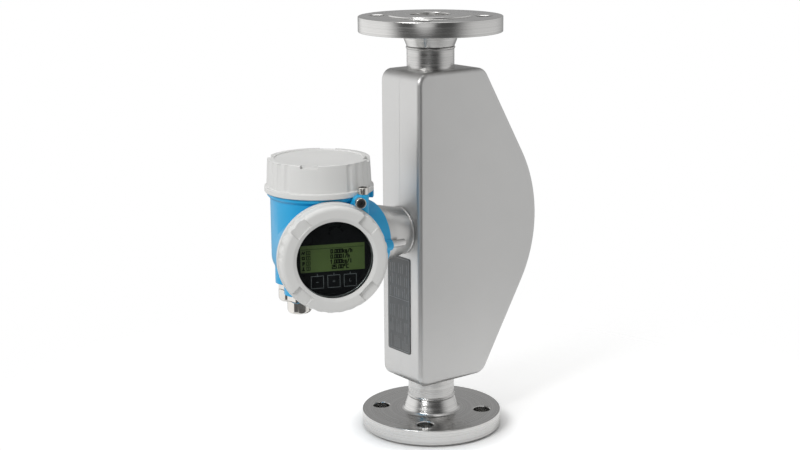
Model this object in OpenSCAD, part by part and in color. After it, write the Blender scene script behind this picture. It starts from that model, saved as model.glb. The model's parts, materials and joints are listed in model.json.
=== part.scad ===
// Coriolis flow meter: two bent measuring tubes in a welded stainless casing,
// flanged at both ends, with a two-chamber transmitter on a short neck.
// Millimetres. +Z runs along the pipe, the origin is the centre of the lower
// raised face, +X points to the bulge of the casing, the transmitter is at -X.

/* [Process connections] */
// Length between the two raised faces
face_to_face = 445; // [420:1:520]
// Outside diameter of the flanges
flange_d = 150; // [140:1:165]
// Thickness of the flange rim
flange_rim_t = 16; // [12:0.5:22]
// Diameter of the raised sealing faces
raised_face_d = 88; // [78:1:90]
// Height of the raised sealing faces
raised_face_t = 2; // [1:0.5:3]
// Bolt circle diameter
bolt_circle_d = 110; // [108:0.5:116]
// Diameter of the bolt holes
bolt_hole_d = 18; // [12:0.5:20]
// Number of bolt holes in each flange
bolt_count = 4; // [4:4:8]
// Flow bore of the flanges and pipe stubs
flow_bore_d = 43; // [36:1:44]
// Outside diameter of the pipe stubs
pipe_d = 49.5; // [47:0.5:54]
// Diameter of the weld neck at the flange
hub_d = 61; // [58:1:70]
// Height of the conical weld neck
hub_h = 15; // [8:1:20]
// How far the root weld stands proud of the pipe stub
weld_bead = 1; // [0.5:0.25:1.5]

/* [Sensor casing] */
// Height of the casing along the pipe
casing_h = 333; // [320:1:345]
// Distance from the pipe axis to the straight back
casing_back = 41; // [39:0.5:50]
// Distance from the pipe axis to the crest of the bulge
casing_bulge = 121; // [115:1:135]
// Thickness of the casing across both half shells
casing_t = 66; // [64:1:80]
// Radius of the bulge
bulge_r = 142.8; // [130:0.4:155]
// Lean of the slanted sides from the pipe direction
slant_angle = 30; // [27:1:33]
// Fillet along the pressed edges
edge_r = 5; // [3:0.5:8]
// Radius of the two corners at the back
back_corner_r = 12; // [10:1:20]
// Radius of the two corners where the slants start
slant_corner_r = 15; // [10:1:25]
// Wall thickness of the half shells
shell_wall = 2; // [1.5:0.25:3]

/* [Measuring tubes] */
// Outside diameter of the two measuring tubes
tube_d = 26; // [22:0.5:27]
// Wall thickness of the measuring tubes
tube_wall = 1.5; // [1:0.25:2]
// Distance between the two measuring tubes, centre to centre
tube_pitch = 30; // [29:0.5:31]
// Lean of the measuring tubes from the pipe direction
tube_lean = 55; // [50:1:58]
// Bend radius where the tubes leave the flow splitters
tube_bend_r = 35; // [30:1:38]
// Bend radius at the crown of the tubes
crown_bend_r = 50; // [45:1:54]
// Length of a flow splitter
splitter_h = 30; // [28:1:36]
// Outside diameter of a flow splitter
splitter_d = 60; // [58:1:61]
// Straight tube length next to a flow splitter
tube_straight = 24; // [24:1:28]
// Depth of a measuring tube in its socket
tube_socket = 6; // [4:0.5:8]
// Thickness of a brace plate
brace_t = 3; // [2:0.5:4]
// Distance between neighbouring brace plates, centre to centre
brace_pitch = 11; // [8:0.5:12]
// Thickness of the support beam
beam_t = 5; // [3:0.5:6]
// Width of the support beam
beam_w = 36; // [30:1:40]

/* [Sensor coils] */
// Diameter of a coil
coil_d = 16; // [14:0.5:20]
// Diameter of the hole through a coil
coil_hole_d = 11; // [9:0.5:12]
// Length of a coil
coil_l = 9; // [6:0.5:10]
// Diameter of the magnet that moves in a coil
magnet_d = 8; // [6:0.5:8.5]
// Distance from tube axis to coil axis
coil_offset = 25; // [24:0.5:28]
// Height of a clamp band on its tube
band_h = 6; // [4:0.5:8]
// Thickness of a clamp band
band_t = 1.4; // [1:0.1:1.5]

/* [Sensor neck] */
// Length of the neck from the casing to the transmitter collar
neck_l = 39; // [36:0.5:46]
// Diameter of the neck at the casing
neck_root_d = 50; // [46:0.5:54]
// Diameter of the neck at the transmitter end
neck_top_d = 60.6; // [56:0.2:63]
// Diameter of the turned shoulder ring
neck_ring_d = 65; // [63.5:0.1:65.6]
// Width of the turned shoulder ring
neck_ring_w = 6; // [4:0.5:8]
// Diameter of the spigot that carries the transmitter
spigot_d = 48; // [44:0.5:50]
// Length of the spigot
spigot_l = 17; // [14:0.5:18]
// Diameter of the cable way through the neck
neck_bore_d = 30; // [24:0.5:32]

/* [Nameplate] */
// Height of the nameplate
plate_h = 104; // [90:1:106]
// Width of the nameplate
plate_w = 38; // [30:1:44]
// Thickness of the nameplate
plate_t = 0.8; // [0.5:0.1:1.5]
// Gap between the nameplate and the weld of the neck
plate_gap = 4; // [3:0.5:8]

/* [Transmitter housing] */
// Distance from the collar face to the lid axis
collar_reach = 62; // [61:0.5:68]
// Diameter of the collar round the neck
collar_d = 76; // [72:0.5:80]
// Turn of the display away from the square position
display_turn = 22; // [16:1:26]
// Outside diameter of both chambers
chamber_d = 98; // [97:0.5:100]
// Wall thickness of the chambers
chamber_wall = 5; // [4:0.25:5.5]
// Height of the lid seat above the neck axis
lid_seat = 56.2; // [55:0.2:60]
// Distance of the display cover seat from the lid axis
display_seat = 50.2; // [50:0.2:54]
// Diameter of the flange under each cover
cover_flange_d = 104; // [103:0.5:106]
// Depth of the display chamber behind its seat
display_depth = 16.7; // [16:0.1:18]
// Thickness of the wall between the chambers
partition_t = 2.5; // [2:0.25:3]
// Depth of the gland bosses below the neck axis
gland_boss_z = 44; // [43:0.5:50]
// Diameter of the gland bosses
gland_boss_d = 30; // [28:0.5:32]
// Sideways distance of the glands from the lid axis
gland_side = 26.5; // [24:0.5:28]
// Distance between the two glands
gland_pitch = 47; // [45:0.5:48]
// Distance of the gland pair behind the lid axis
gland_back = 3.5; // [3:0.25:5]

/* [Covers] */
// Diameter of the lip round each cover
cover_lip_d = 109; // [108:0.5:112]
// Height of the lip
cover_lip_h = 5.5; // [4:0.25:6]
// Diameter of the thread that holds a cover
cover_thread_d = 92; // [91:0.5:93]
// Thread length on the connection side
lid_thread_l = 10; // [8:0.5:14]
// Thread length on the display side
display_thread_l = 7; // [5:0.25:7.2]
// Diameter of the connection cover at the root of its wall
lid_root_d = 104.6; // [103:0.2:106]
// Diameter of the connection cover at the top
lid_top_d = 102; // [100:0.5:103]
// Height of the connection cover
lid_h = 33; // [28:0.5:40]
// Height of the display cover
display_cover_h = 19.5; // [19:0.25:24]
// Diameter of the display cover's wall
display_wall_d = 106.5; // [104:0.5:108]
// Width of the rounded shoulder of the display cover
shoulder = 4.5; // [3:0.25:5]
// Diameter of the clear window
window_d = 76; // [70:0.5:77]
// Thickness of the glass
glass_t = 4.8; // [3.5:0.1:4.9]
// Number of grip flutes in one group
flutes = 5; // [3:1:6]
// Angle between neighbouring flutes
flute_pitch = 12; // [9:0.5:12]
// Depth of a flute
flute_depth = 0.9; // [0.4:0.1:1.2]
// Width of a tool notch
notch_w = 17; // [12:0.5:20]
// Depth of a tool notch
notch_depth = 2.4; // [1:0.1:2.6]

/* [Display] */
// Diameter of the display's front plate
front_plate_d = 81; // [78:0.5:82]
// Thickness of the display's front plate
front_plate_t = 4; // [3:0.5:5]
// Width of the screen
lcd_w = 64; // [50:1:66]
// Height of the screen
lcd_h = 27; // [22:0.5:30]
// Thickness of the display's electronics case
display_case_t = 12; // [10:0.5:12.5]

/* [Glands and clamps] */
// Diameter of the gland thread
gland_thread_d = 20; // [18:0.5:20]
// Size across flats of a gland's hexagon
gland_flats = 21; // [20:0.5:22]
// Diameter of a gland's cap nut
gland_nut_d = 24; // [22.5:0.5:25]
// Length of a gland's cap nut
gland_nut_l = 13; // [11:0.5:16]
// Diameter of the cable that a gland takes
gland_cable_d = 9; // [6:0.5:9.5]
// Diameter of a cover clamp's head
clamp_d = 10.4; // [9:0.2:12]
// Height of a cover clamp's head
clamp_h = 7; // [5:0.5:8]
// Diameter of the housing's lock screw
lock_screw_d = 7.4; // [6:0.2:8]
// Length of the lock screw that stands clear of its lug
lock_screw_l = 16.5; // [12:0.5:20]

/* [Fits] */
// Radial clearance of a turning fit
turn_fit = 0.05; // [0.03:0.01:0.08]
// Gap between faces that turn or lift past each other
face_gap = 0.3; // [0.2:0.05:0.5]
// Radial clearance of a thread or a pressed or brazed fit
seat_fit = 0.1; // [0.05:0.01:0.15]

/* [Hidden] */

$fn = 96;
eps = 0.01;
steel = [0.72, 0.72, 0.72];
satin = [0.66, 0.66, 0.65];
blue = [0.03, 0.5, 0.78];
cover_white = [0.86, 0.87, 0.86];
nickel = [0.8, 0.78, 0.74];
black = [0.05, 0.05, 0.06];

// Places along the pipe
mid_z = face_to_face / 2;
casing_z0 = mid_z - casing_h / 2;
hub_top_z = raised_face_t + flange_rim_t + hub_h;
inner_z0 = casing_z0 + shell_wall;
stub_in = 4;
splitter_z0 = inner_z0 + stub_in;
splitter_z1 = splitter_z0 + splitter_h;
bend_z0 = splitter_z1 + tube_straight;

// Measuring tube path: straight, bend, lean, crown, and the mirror of it
bend_x1 = tube_bend_r * (1 - cos(tube_lean));
bend_z1 = bend_z0 + tube_bend_r * sin(tube_lean);
crown_half = crown_bend_r * sin(tube_lean);
lean_l = (mid_z - crown_half - bend_z1) / cos(tube_lean);
crown_x0 = bend_x1 + lean_l * sin(tube_lean);
crown_x = crown_x0 + crown_bend_r * (1 - cos(tube_lean));
tube_bore_d = tube_d - 2 * tube_wall;

// Transmitter frame
collar_x = -(casing_back + neck_l);
axis_x = collar_x - collar_reach;
chamber_r = chamber_d / 2;
bore_r = chamber_r - chamber_wall;
thread_r = cover_thread_d / 2;
display_bore_r = front_plate_d / 2 + 1;
lip_r = cover_lip_d / 2;
wires_r = neck_bore_d / 2;
display_back = display_seat - display_depth;
partition_back = display_back - partition_t;
cover_back = display_seat + face_gap;
cover_front = cover_back + display_cover_h;
cover_shelf = cover_front - 3.4;
window_lip_t = 2;
glass_back = cover_shelf - 0.8 - glass_t;
ring_t = 3;
front_plate_d1 = display_seat + display_thread_l - 0.4;
case_front = front_plate_d1 - front_plate_t;
case_back = case_front - display_case_t;
lid_z0 = lid_seat + face_gap;
chamber_floor = -32;
module_shelf_z = 18;
gland_r = gland_thread_d / 2;
clamp_reach = lip_r + face_gap + clamp_d / 2;
lid_clamp_turn = -57;
display_clamp_turn = 62.7;
lock_r = neck_ring_d / 2 + face_gap + lock_screw_d / 2;
lock_turn = 4.3;
seal_d = 2.2;
groove_w = seal_d + 0.4;
lid_clock = -43;
lid_notch_clock = 67;
lug_turn = -20;
lug_w = 9;

// ---------- frames ----------

// Local +Z runs from the casing's straight back along the neck, +X is up
module at_neck(reach = 0)
  translate([-casing_back - reach, 0, mid_z])
    rotate([0, -90, 0]) children();

// Local frame of the housing: its origin is where neck, lid and display axes
// meet, -Y is the way the display faces, +Z the way the lid faces
module at_housing()
  translate([axis_x, 0, mid_z]) rotate([0, 0, -display_turn]) children();

// Local +Z runs out of the display, +Y is up
module at_display(d = 0)
  at_housing() translate([0, -d, 0]) rotate([90, 0, 0]) children();

module at_lid(z = 0)
  at_housing() translate([0, 0, z]) children();

// Both ends of the sensor: the upper is the mirror of the lower
module at_end(upper)
  translate([0, 0, upper ? face_to_face : 0])
    mirror([0, 0, upper ? 1 : 0]) children();

// ---------- small shapes ----------

module ring(r_out, r_in, h)
  difference() {
    cylinder(r = r_out, h = h);
    translate([0, 0, -eps]) cylinder(r = r_in, h = h + 2 * eps);
  }

module torus(r, d)
  rotate_extrude() translate([r, 0]) circle(d = d, $fn = 32);

module hexagon(flats, h)
  cylinder(d = flats / cos(30), h = h, $fn = 6);

// Cone frustum with a bevelled outer edge at both rims
module turned_disc(r, h, bevel)
  rotate_extrude()
    polygon([
      [0, 0], [r - bevel, 0], [r, bevel], [r, h - bevel], [r - bevel, h], [0, h]
    ]);

// ---------- process connections ----------

module flange() {
  bevel = 1;
  rim_top = raised_face_t + flange_rim_t;
  difference() {
    union() {
      cylinder(d = raised_face_d, h = raised_face_t + eps);
      translate([0, 0, raised_face_t]) turned_disc(flange_d / 2, flange_rim_t, bevel);
      translate([0, 0, rim_top]) cylinder(d1 = hub_d, d2 = pipe_d, h = hub_h);
    }
    translate([0, 0, -eps]) cylinder(d = flow_bore_d, h = hub_top_z + 2 * eps);
    for (i = [0 : bolt_count - 1])
      rotate(180 / bolt_count + i * 360 / bolt_count)
        translate([bolt_circle_d / 2, 0, raised_face_t - eps])
          cylinder(d = bolt_hole_d, h = flange_rim_t + 2 * eps);
  }
}

module pipe_stub() {
  bead_h = 2.4;
  translate([0, 0, hub_top_z])
    difference() {
      union() {
        cylinder(d = pipe_d, h = splitter_z0 - hub_top_z);
        cylinder(d = pipe_d + 2 * weld_bead, h = bead_h);
      }
      translate([0, 0, -eps]) cylinder(d = flow_bore_d, h = splitter_z0 - hub_top_z + 2 * eps);
    }
}

module flange_bottom() color(steel) at_end(false) flange();
module flange_top() color(steel) at_end(true) flange();
module pipe_stub_bottom() color(steel) at_end(false) pipe_stub();
module pipe_stub_top() color(steel) at_end(true) pipe_stub();

// ---------- flow path inside the casing ----------

// One inlet divides into two sockets for the measuring tubes
module splitter() {
  mouth = splitter_h * 0.4;
  throat = splitter_h * 0.3;
  translate([0, 0, splitter_z0])
    difference() {
      union() {
        intersection() {
          cylinder(d = splitter_d, h = splitter_h);
          translate([-casing_back, -tube_pitch, 0])
            cube([2 * casing_back, 2 * tube_pitch, splitter_h]);
        }
        translate([-splitter_d / 2, -beam_w / 2, 0])
          cube([splitter_d / 4, beam_w, splitter_h]);
      }
      translate([0, 0, -eps]) cylinder(d = flow_bore_d, h = mouth);
      for (s = [-1, 1])
        translate([0, s * tube_pitch / 2, 0]) {
          translate([0, 0, throat]) cylinder(d = tube_bore_d, h = splitter_h);
          translate([0, 0, splitter_h - tube_socket])
            cylinder(d = tube_d + 2 * seat_fit, h = tube_socket + eps);
        }
    }
}

module splitter_bottom() color(steel) at_end(false) splitter();
module splitter_top() color(steel) at_end(true) splitter();

// Round wall section of a measuring tube
module tube_section()
  difference() {
    circle(r = tube_d / 2 - draw_step, $fn = 40);
    circle(r = tube_bore_d / 2 - draw_step, $fn = 40);
  }

// Straight piece of a measuring tube: it keeps the full size, the bends are
// drawn down by draw_step, and each straight runs on into its bend by lap
module tube_straight_piece(z0, l)
  translate([0, 0, z0])
    ring(tube_d / 2, tube_bore_d / 2, l);

// Straight end, first bend and leaning part of a measuring tube
module tube_leg() {
  z_start = splitter_z1 - tube_socket;
  tube_straight_piece(z_start, bend_z0 - z_start + lap);
  translate([tube_bend_r, 0, bend_z0])
    rotate([90, 0, 0])
      rotate([0, 0, 180 - tube_lean])
        rotate_extrude(angle = tube_lean)
          translate([tube_bend_r, 0]) tube_section();
  translate([bend_x1, 0, bend_z1])
    rotate([0, tube_lean, 0]) tube_straight_piece(-lap, lean_l + 2 * lap);
}

draw_step = 0.1;
lap = 1;

module measuring_tube(side)
  translate([0, side * tube_pitch / 2, 0]) {
    tube_leg();
    translate([0, 0, face_to_face]) rotate([180, 0, 0]) tube_leg();
    translate([crown_x - crown_bend_r, 0, mid_z])
      rotate([90, 0, 0])
        rotate([0, 0, -tube_lean])
          rotate_extrude(angle = 2 * tube_lean)
            translate([crown_bend_r, 0]) tube_section();
  }

module measuring_tube_front() color(steel) measuring_tube(-1);
module measuring_tube_rear() color(steel) measuring_tube(1);

// Plates that tie both tubes together and set their free length
module brace_plate(upper, step) {
  first = splitter_z1 + brace_t;
  lug = 3;
  plate_r = tube_d / 2 + lug;
  at_end(upper)
    translate([0, 0, first + step * brace_pitch])
      difference() {
        union() {
          for (s = [-1, 1])
            translate([0, s * tube_pitch / 2, 0])
              intersection() {
                cylinder(r = plate_r, h = brace_t);
                translate([-plate_r, -plate_r, 0])
                  translate([0, s > 0 ? 0 : plate_r - tube_pitch / 2, 0])
                    cube([2 * plate_r, plate_r + tube_pitch / 2, brace_t]);
              }
          translate([-plate_r, -tube_pitch / 2, 0])
            cube([2 * plate_r, tube_pitch, brace_t]);
        }
        for (s = [-1, 1])
          translate([0, s * tube_pitch / 2, -eps])
            cylinder(d = tube_d + 2 * seat_fit, h = brace_t + 2 * eps);
      }
}

module brace_plate_1() color(steel) brace_plate(false, 0);
module brace_plate_2() color(steel) brace_plate(false, 1);
module brace_plate_3() color(steel) brace_plate(true, 1);
module brace_plate_4() color(steel) brace_plate(true, 0);

// Stiff bar between the two splitters, open behind the neck
module support_beam()
  color(satin)
    difference() {
      translate([-splitter_d / 2 - beam_t, -beam_w / 2, splitter_z0])
        cube([beam_t, beam_w, face_to_face - 2 * splitter_z0]);
      translate([-splitter_d / 2 - beam_t - eps, 0, mid_z])
        rotate([0, 90, 0]) cylinder(r = beam_w / 3, h = beam_t + 2 * eps);
    }

// ---------- coils, magnets and temperature sensor ----------

// The three stations on the tubes: 0 is the drive, -1 and 1 are the pick-offs.
// Local +Z runs along the tube, -X points to the inside of the bend
module at_station(i) {
  half = lean_l / 2;
  if (i == 0)
    translate([crown_x, 0, mid_z]) children();
  else
    translate([bend_x1 + half * sin(tube_lean), 0, mid_z + i * (mid_z - bend_z1 - half * cos(tube_lean))])
      rotate([0, -i * tube_lean, 0]) children();
}

coil_gap = 1;
coil_y0 = tube_pitch / 2 - coil_l - coil_gap;
arm_t = 2;

// A band round the tube with an arm that carries a coil or a magnet
module station_bracket(side) {
  band_bore = tube_d / 2 + 2 * seat_fit;
  arm_x = coil_offset + coil_d / 4;
  arm_y = tube_pitch / 2 - coil_gap;
  difference() {
    union() {
      translate([0, side * tube_pitch / 2, -band_h / 2])
        intersection() {
          cylinder(r = band_bore + band_t, h = band_h);
          translate([-tube_d, side > 0 ? -tube_pitch / 2 + face_gap : -tube_d - tube_pitch / 2 - face_gap, 0])
            cube([2 * tube_d, tube_d + tube_pitch, band_h]);
        }
      translate([-arm_x, side > 0 ? arm_y : -arm_y - arm_t, -band_h / 2])
        cube([arm_x - tube_d / 4, arm_t, band_h]);
    }
    translate([0, side * tube_pitch / 2, -band_h])
      cylinder(r = band_bore, h = 2 * band_h);
  }
}

module coil()
  translate([-coil_offset, tube_pitch / 2 - coil_gap, 0])
    rotate([90, 0, 0])
      difference() {
        union() {
          ring(coil_d / 2, coil_hole_d / 2, 1);
          ring(coil_d / 2 - 1, coil_hole_d / 2, coil_l);
          translate([0, 0, coil_l - 1]) ring(coil_d / 2, coil_hole_d / 2, 1);
        }
      }

module magnet()
  translate([-coil_offset, -tube_pitch / 2 + coil_gap, 0])
    rotate([-90, 0, 0]) {
      cylinder(d = magnet_d + 4, h = 2);
      cylinder(d = magnet_d, h = tube_pitch - 2 * coil_gap - coil_l / 2);
    }

module coil_brackets() color(satin) for (i = [-1 : 1]) at_station(i) station_bracket(1);
module magnet_brackets() color(satin) for (i = [-1 : 1]) at_station(i) station_bracket(-1);
module drive_coil() color("peru") at_station(0) coil();
module pickoff_coil_bottom() color("peru") at_station(-1) coil();
module pickoff_coil_top() color("peru") at_station(1) coil();
module drive_magnet() color("dimgray") at_station(0) magnet();
module pickoff_magnet_bottom() color("dimgray") at_station(-1) magnet();
module pickoff_magnet_top() color("dimgray") at_station(1) magnet();

// Resistance sensor in a saddle on the rear tube, between splitter and braces
module temperature_sensor() {
  saddle_l = 10;
  probe_d = 5;
  reach = tube_d / 2 + seat_fit;
  color("silver")
    translate([0, tube_pitch / 2, splitter_z1 + 2 * brace_t + brace_pitch + 2.5])
      difference() {
        union() {
          translate([reach - 2, -probe_d / 2 - 1, 0]) cube([4, probe_d + 2, saddle_l * 0.7]);
          translate([reach + probe_d / 2, 0, -2]) cylinder(d = probe_d, h = saddle_l);
        }
        translate([0, 0, -saddle_l]) cylinder(r = reach, h = 3 * saddle_l);
      }
}

// ---------- casing ----------

// Deep-drawn half shell as a solid, grown inwards by inset. Local X and Y are
// the pipe-normal and pipe directions, Z runs from the weld seam to the face
module shell_form(inset) {
  h = casing_t / 2 - inset;
  e = max(edge_r - inset, 0.5);
  half = casing_h / 2;
  slant_x0 = casing_bulge - bulge_r;
  tangent_x = slant_x0 + bulge_r * cos(slant_angle);
  tangent_y = bulge_r * sin(slant_angle);
  shoulder_x = tangent_x - (half - tangent_y) * tan(slant_angle);
  in_r = slant_corner_r * tan((90 - slant_angle) / 2);
  hull() {
    for (s = [-1, 1]) {
      translate([-casing_back + back_corner_r, s * (half - back_corner_r), 0])
        pressed_disc(back_corner_r - inset, h, e, 48);
      translate([shoulder_x - in_r, s * (half - slant_corner_r), 0])
        pressed_disc(slant_corner_r - inset, h, e, 48);
    }
    translate([slant_x0, 0, 0])
      rotate([0, 0, -slant_angle])
        rotate_extrude(angle = 2 * slant_angle, $fn = 180)
          translate([bulge_r / 2, 0])
            pressed_profile(bulge_r / 2 - inset, h, e);
  }
}

module pressed_disc(r, h, e, steps)
  rotate_extrude($fn = steps) pressed_profile(r, h, e);

// Rectangle whose outer upper corner has the fillet e
module pressed_profile(r, h, e)
  polygon(concat(
    [[0, 0], [r, 0]],
    [for (a = [0 : 15 : 90]) [r - e + e * cos(a), h - e + e * sin(a)]],
    [[0, h]]
  ));

module casing_shell(side)
  difference() {
    mirror([0, side > 0 ? 1 : 0, 0])
      translate([0, 0, mid_z])
        rotate([90, 0, 0])
          difference() {
            shell_form(0);
            translate([0, 0, -eps]) shell_form(shell_wall);
          }
    cylinder(d = pipe_d + 2 * seat_fit, h = face_to_face);
    at_neck(-casing_back / 2) cylinder(d = neck_bore_d, h = casing_back);
  }

module casing_shell_front() color(satin) casing_shell(-1);
module casing_shell_rear() color(satin) casing_shell(1);

module nameplate() {
  corner = 2;
  top_z = mid_z - neck_root_d / 2 - plate_gap;
  color([0.36, 0.37, 0.37])
    translate([-casing_back - plate_t, 2, top_z - plate_h])
      rotate([90, 0, 90])
        linear_extrude(plate_t)
          union() {
            translate([-plate_w / 2 + corner, 0]) square([plate_w - 2 * corner, plate_h]);
            translate([-plate_w / 2, corner]) square([plate_w, plate_h - 2 * corner]);
            for (sx = [-1, 1], y = [corner, plate_h - corner])
              translate([sx * (plate_w / 2 - corner), y]) circle(r = corner, $fn = 32);
          }
}

// ---------- neck ----------

module sensor_neck() {
  ring_z0 = neck_l - face_gap - neck_ring_w;
  bead_h = 2;
  color(steel)
    at_neck()
      difference() {
        union() {
          cylinder(d = neck_root_d, h = bead_h);
          translate([0, 0, bead_h])
            cylinder(d1 = neck_root_d - 1, d2 = neck_top_d, h = ring_z0 * 0.85 - bead_h);
          translate([0, 0, ring_z0 * 0.85 - eps])
            cylinder(d = neck_top_d, h = ring_z0 * 0.15 + 2 * eps);
          translate([0, 0, ring_z0]) turned_disc(neck_ring_d / 2, neck_ring_w, 0.8);
          translate([0, 0, neck_l - face_gap - eps])
            cylinder(d = spigot_d, h = spigot_l + eps);
        }
        translate([0, 0, -eps]) cylinder(d = neck_bore_d, h = neck_l + spigot_l + 1);
        translate([0, 0, neck_l + spigot_l / 2])
          ring(spigot_d, spigot_d / 2 - seal_d, groove_w);
      }
}

module neck_seal()
  color(black)
    at_neck(neck_l + spigot_l / 2 + groove_w / 2)
      torus(spigot_d / 2 - seal_d / 2, seal_d - 2 * turn_fit);

pin_circle_d = 18;
pin_d = 1.2;
pin_count = 9;

module feedthrough()
  color("silver")
    at_neck(shell_wall)
      difference() {
        cylinder(d = neck_bore_d - 2 * seat_fit, h = 5);
        for (i = [0 : pin_count - 1])
          rotate(i * 360 / pin_count)
            translate([pin_circle_d / 2, 0, -eps])
              cylinder(d = pin_d + 2 * seat_fit, h = 6, $fn = 24);
      }

module feedthrough_pins()
  color("gold")
    at_neck(shell_wall)
      for (i = [0 : pin_count - 1])
        rotate(i * 360 / pin_count)
          translate([pin_circle_d / 2, 0, -4]) cylinder(d = pin_d, h = 14, $fn = 24);

// ---------- transmitter housing ----------

// Cylinder that lies along the display axis, from y0 back to y1 in front
module lying(r, from_d, to_d)
  translate([0, -from_d, 0]) rotate([90, 0, 0]) cylinder(r = r, h = to_d - from_d);

module neck_way(r, from_r, to_r)
  rotate([0, 0, display_turn])
    translate([from_r, 0, 0]) rotate([0, 90, 0]) cylinder(r = r, h = to_r - from_r);

// The place of gland i: 0 is the front one, 1 the rear one
module at_gland(i)
  translate([-gland_side, gland_back + (i - 0.5) * gland_pitch, -gland_boss_z])
    children();

module lug_place()
  rotate([0, 0, display_turn])
    rotate([lock_turn, 0, 0])
      translate([0, -lock_r, 0]) rotate([0, 90, 0]) children();

module housing_outside() {
  flange_r = cover_flange_d / 2;
  flange_t = 3.2;
  bevel = flange_r - chamber_r;
  // connection chamber with its flange, which gives way to the display cover
  cylinder(r = chamber_r, h = lid_seat - flange_t / 2);
  difference() {
    union() {
      translate([0, 0, lid_seat - flange_t]) cylinder(r = flange_r, h = flange_t);
      translate([0, 0, lid_seat - flange_t - bevel])
        cylinder(r1 = chamber_r, r2 = flange_r, h = bevel);
      rotate([0, 0, lug_turn])
        translate([chamber_r - chamber_wall / 2, -lug_w / 2, lid_seat - 2 * flange_t])
          cube([chamber_wall / 2 + cover_lip_h, lug_w, 2 * flange_t]);
    }
    lying(lip_r + face_gap, display_seat, 2 * display_seat);
  }
  translate([0, 0, lid_seat - eps]) cylinder(r = thread_r, h = lid_thread_l);
  // display chamber, whose round belly closes the connection chamber below
  intersection() {
    lying(chamber_r, -chamber_r, display_seat);
    union() {
      translate([0, 0, -chamber_r]) cylinder(r = chamber_r, h = 2 * chamber_r);
      translate([-chamber_r, -display_seat, -chamber_r])
        cube([2 * chamber_r, display_seat, 2 * chamber_r]);
    }
  }
  lying(flange_r, display_seat - flange_t, display_seat);
  translate([0, -display_seat + flange_t + bevel, 0])
    rotate([90, 0, 0]) cylinder(r1 = chamber_r, r2 = flange_r, h = bevel);
  lying(thread_r, display_seat - eps, display_seat + display_thread_l);
  // collar and lug on the neck side
  neck_way(collar_d / 2, 0, collar_reach - 1.5);
  neck_way(collar_d / 2 - 1.5, 0, collar_reach);
  lug_place() translate([0, 0, collar_reach / 2]) cylinder(d = lug_d, h = collar_reach / 2 - 1);
  // gland bosses
  for (i = [0, 1])
    at_gland(i) {
      cylinder(d = gland_boss_d, h = gland_boss_z * 0.7);
      translate([0, 0, gland_boss_z * 0.7])
        cylinder(d1 = gland_boss_d, d2 = gland_boss_d * 0.4, h = gland_boss_z * 0.5);
    }
  // bosses beside the covers that carry their clamps
  difference() {
    union() {
      rotate([0, 0, lid_clamp_turn]) clamp_boss(lid_seat, lid_clamp_rise);
      rotate([90, 0, 0])
        rotate([0, 0, display_clamp_turn]) clamp_boss(display_seat, display_clamp_rise);
    }
    translate([0, 0, lid_seat]) cylinder(r = lip_r + face_gap, h = lid_h);
    lying(lip_r + face_gap, display_seat, display_seat + lid_h);
  }
}

lug_d = lock_screw_d + 4.4;
clamp_boss_drop = 22;
lid_clamp_rise = 3.3;
display_clamp_rise = 6.8;
thread_fit = 0.3;

// Boss at clamp_reach from a cover's axis, with a web back to the chamber
module clamp_boss(seat, rise) {
  low = seat - clamp_boss_drop;
  translate([clamp_reach, 0, low])
    cylinder(d = clamp_d + 1, h = clamp_boss_drop + rise);
  translate([clamp_reach, 0, low - clamp_d / 2])
    cylinder(d1 = 2, d2 = clamp_d + 1, h = clamp_d / 2 + eps);
  translate([chamber_r - chamber_wall / 2, -clamp_d / 2, low])
    cube([clamp_reach - chamber_r + chamber_wall / 2, clamp_d, clamp_boss_drop]);
}

// Everything that is cored or bored out of the casting
module housing_inside() {
  // connection chamber: full round above the display, cut off behind it
  translate([0, 0, lid_seat - 1]) cylinder(r = bore_r, h = lid_thread_l + 2);
  difference() {
    intersection() {
      translate([0, 0, chamber_floor]) cylinder(r = bore_r, h = lid_seat - chamber_floor);
      union() {
        lying(chamber_r - chamber_wall, -chamber_r, chamber_r);
        translate([-chamber_r, -chamber_r, 0]) cube([chamber_d, chamber_d, lid_seat]);
      }
    }
    translate([-chamber_r, -chamber_r - display_seat, -chamber_r])
      cube([chamber_d, chamber_r + display_seat - partition_back, chamber_d]);
    for (p = shelf_posts)
      translate([p[0], p[1], chamber_floor - 1])
        cylinder(d = post_d, h = module_shelf_z - chamber_floor + 1, $fn = 32);
  }
  // display chamber
  lying(display_bore_r, display_back, display_seat + display_thread_l + 1);
  // cable way through the wall between the chambers
  translate([0, 0, chamber_r * 0.35]) lying(4, partition_back - 1, display_back + 1);
  // bearing bore for the neck and the cable way behind it
  neck_way(spigot_d / 2 + turn_fit, collar_reach - spigot_l - 0.5, collar_reach + 1);
  neck_way(wires_r, bore_r / 2, collar_reach);
  // lock screw
  lug_place() translate([0, 0, collar_reach / 2 + 6]) cylinder(d = lock_screw_d + 2 * seat_fit, h = collar_reach);
  // gland threads and the flats round them
  for (i = [0, 1])
    at_gland(i) {
      translate([0, 0, -eps]) cylinder(r = gland_r + seat_fit, h = gland_boss_z + chamber_floor + 1);
      translate([0, 0, -gland_boss_d]) cylinder(d = gland_boss_d, h = gland_boss_d);
    }
  // clamp screws
  rotate([0, 0, lid_clamp_turn]) clamp_screw_hole(lid_seat);
  rotate([90, 0, 0]) rotate([0, 0, display_clamp_turn]) clamp_screw_hole(display_seat);
}

post_d = 8;
shelf_posts = [[30, -18], [10, 37], [-9, -22]];
clamp_screw_d = 5;

module clamp_screw_hole(seat)
  translate([clamp_reach, 0, seat - clamp_boss_drop / 2])
    cylinder(d = clamp_screw_d + 2 * seat_fit, h = clamp_boss_drop);

module transmitter_housing()
  color(blue)
    at_housing()
      difference() {
        housing_outside();
        housing_inside();
      }

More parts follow.
